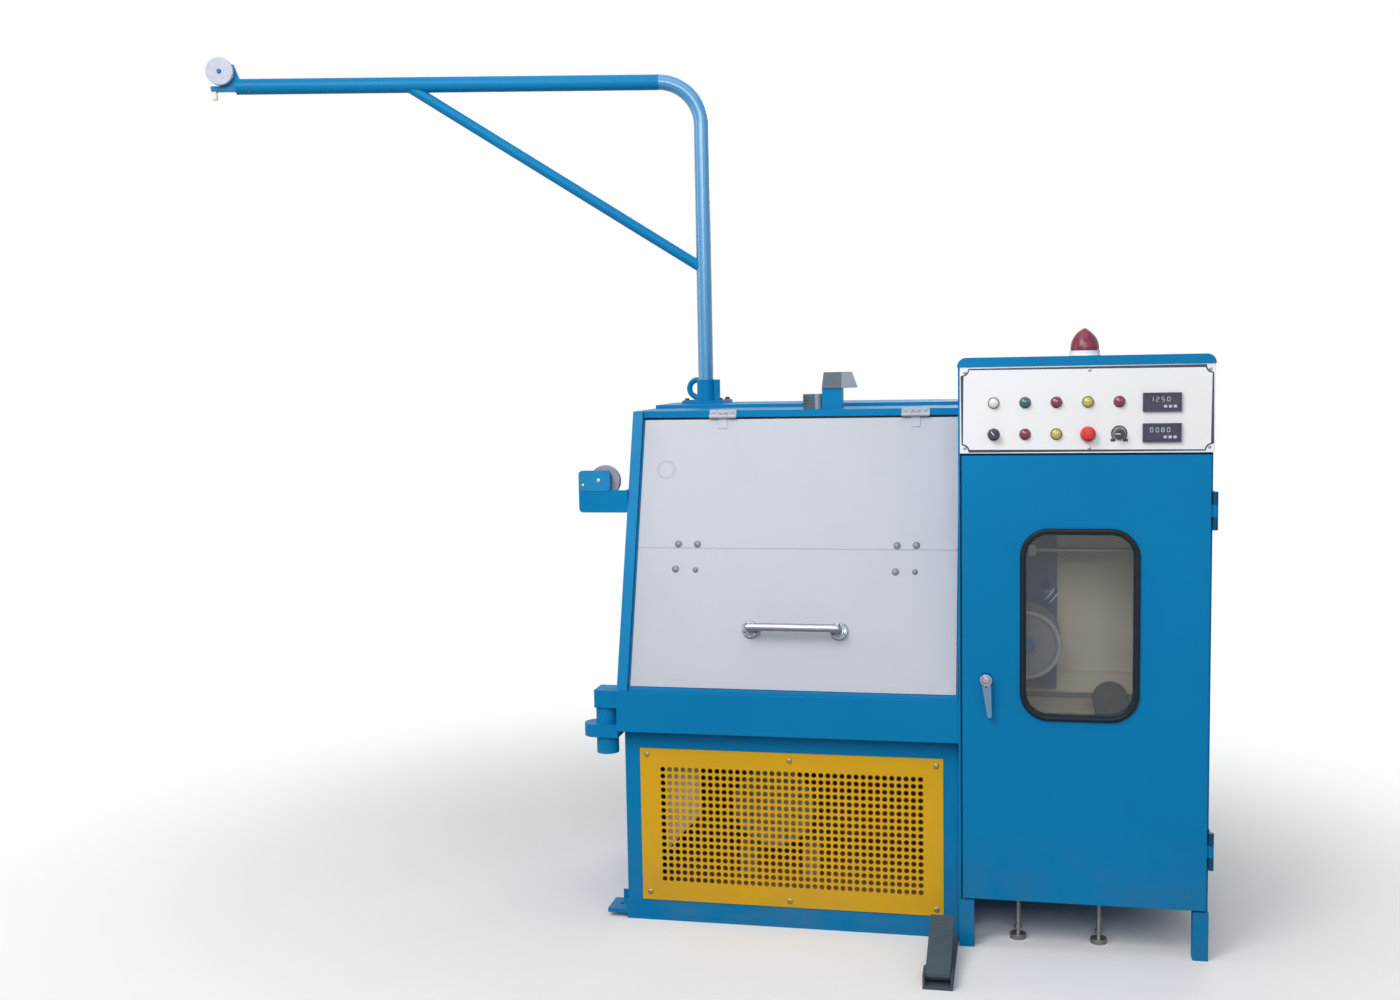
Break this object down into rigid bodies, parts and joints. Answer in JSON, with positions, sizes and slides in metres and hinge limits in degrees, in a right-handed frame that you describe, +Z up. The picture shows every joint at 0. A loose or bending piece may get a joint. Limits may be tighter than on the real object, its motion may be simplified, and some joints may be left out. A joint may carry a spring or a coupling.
{
  "type": "fine wire drawing machine",
  "caption": "Floor-standing fine wire drawing machine: leaning folding cover, perforated guard, take-up cabinet with windowed door, overhead wire arm.",
  "frame": {"origin": "middle of the underside of the drawing section's base, on the floor", "axes": "+X to the right along the front, +Y from the front to the back, +Z up"},
  "size_m": [2.9829, 1.152, 2.578],
  "materials": {
    "blue_paint": null,
    "yellow_paint": null,
    "motor_grey": null,
    "machined_steel": null,
    "ceramic_cream": null,
    "stainless": null,
    "chrome": null,
    "zinc": null,
    "rubber": null,
    "grey_plastic": null,
    "panel_white": null,
    "black_plastic": null,
    "red_plastic": null,
    "clear_glass": null,
    "grey_paint": null,
    "cream_paint": null,
    "slate_paint": null
  },
  "bodies": {
    "machine": {"base_plate": "blue_paint", "lower_sides": "blue_paint", "lower_back": "blue_paint", "lower_front": "blue_paint", "guard": "yellow_paint", "motor": "motor_grey", "tray": "blue_paint", "upper_sides": "blue_paint", "back_panel": "blue_paint", "top_plate": "blue_paint", "drawing_plate": "machined_steel", "capstans": "ceramic_cream", "cover_hinges": "stainless", "mast_base": "blue_paint", "lifting_eye": "blue_paint", "stop_post": "blue_paint", "stop_pad": "rubber", "drain_outlet": "blue_paint", "inlet_bracket": "blue_paint", "cabinet_sides": "blue_paint", "cabinet_back": "blue_paint", "cabinet_floor": "blue_paint", "cabinet_legs": "blue_paint", "levelling_feet": "zinc", "control_box": "blue_paint", "control_panel": "panel_white", "panel_buttons": "grey_plastic", "panel_meters": "black_plastic", "cabinet_cap": "blue_paint", "beacon": "red_plastic", "beacon_base": "panel_white", "door_hinges": "blue_paint", "inner_panel": "cream_paint", "pedal_base": "slate_paint", "inner_carrier": "slate_paint", "traverse_rod": "machined_steel", "traverse_motor": "slate_paint", "hanger_plate": "grey_paint"},
    "upper_cover": {"upper_cover": "stainless"},
    "lower_cover": {"lower_cover": "stainless", "cover_handle": "chrome"},
    "arm": {"mast_pipe": "blue_paint", "arm_pipe": "blue_paint", "arm_brace": "blue_paint", "arm_guide": "ceramic_cream"},
    "arm_pulley": {"arm_pulley": "machined_steel"},
    "inlet_pulley": {"inlet_pulley": "grey_plastic"},
    "door": {"door": "blue_paint", "window_gasket": "rubber", "window_glass": "clear_glass"},
    "door_lever": {"door_lever": "chrome"},
    "take_up_spool": {"take_up_spool": "grey_plastic"},
    "pedal": {"pedal_treadle": "slate_paint"},
    "selector": {"selector_knob": "black_plastic"},
    "speed_knob": {"speed_knob": "black_plastic"},
    "stop_button": {"stop_button": "red_plastic"}
  },
  "joints": [
    {"name": "cover_lift", "type": "hinge", "parent": "machine", "child": "upper_cover", "pos_m": [0, -0.18178, 1.4475], "axis": [-1, 0, 0], "range_deg": [0, 180]},
    {"name": "cover_fold", "type": "hinge", "parent": "upper_cover", "child": "lower_cover", "pos_m": [0, -0.27109, 1.06481], "axis": [1, 0, 0], "range_deg": [0, 160]},
    {"name": "door_swing", "type": "hinge", "parent": "machine", "child": "door", "pos_m": [1.129, -0.447, 0.74], "axis": [0, 0, 1], "range_deg": [0, 110]},
    {"name": "door_lever_turn", "type": "hinge", "parent": "door", "child": "door_lever", "pos_m": [0.548, -0.453, 0.746], "axis": [0, -1, 0], "range_deg": [0, 90]},
    {"name": "arm_swivel", "type": "hinge", "parent": "machine", "child": "arm", "pos_m": [-0.358, 0.267, 1.5], "axis": [0, 0, 1], "range_deg": [-90, 90]},
    {"name": "arm_pulley_spin", "type": "hinge", "parent": "arm", "child": "arm_pulley", "pos_m": [-1.80271, -0.13761, 2.536], "axis": [0.2504, -0.9681, 0], "continuous": true},
    {"name": "inlet_pulley_spin", "type": "hinge", "parent": "machine", "child": "inlet_pulley", "pos_m": [-0.559, -0.24, 1.264], "axis": [0, 1, 0], "continuous": true},
    {"name": "spool_spin", "type": "hinge", "parent": "machine", "child": "take_up_spool", "pos_m": [0.653, -0.223, 0.812], "axis": [0, 1, 0], "continuous": true},
    {"name": "pedal_press", "type": "hinge", "parent": "machine", "child": "pedal", "pos_m": [0.4325, -0.728, 0.03], "axis": [-1, 0, 0], "range_deg": [0, 12], "stiffness_Nm_per_rad": 12, "springref_deg": -34.38},
    {"name": "selector_turn", "type": "hinge", "parent": "machine", "child": "selector", "pos_m": [0.568, -0.453, 1.402], "axis": [0, -1, 0], "range_deg": [-45, 45]},
    {"name": "speed_knob_turn", "type": "hinge", "parent": "machine", "child": "speed_knob", "pos_m": [0.888, -0.453, 1.402], "axis": [0, -1, 0], "range_deg": [-135, 135]},
    {"name": "stop_press", "type": "slide", "parent": "machine", "child": "stop_button", "axis": [0, 1, 0], "range_m": [0, 0.004]}
  ],
  "couplings": [
    {"joint": "cover_fold", "follows": "cover_lift", "ratio": 0.87}
  ]
}
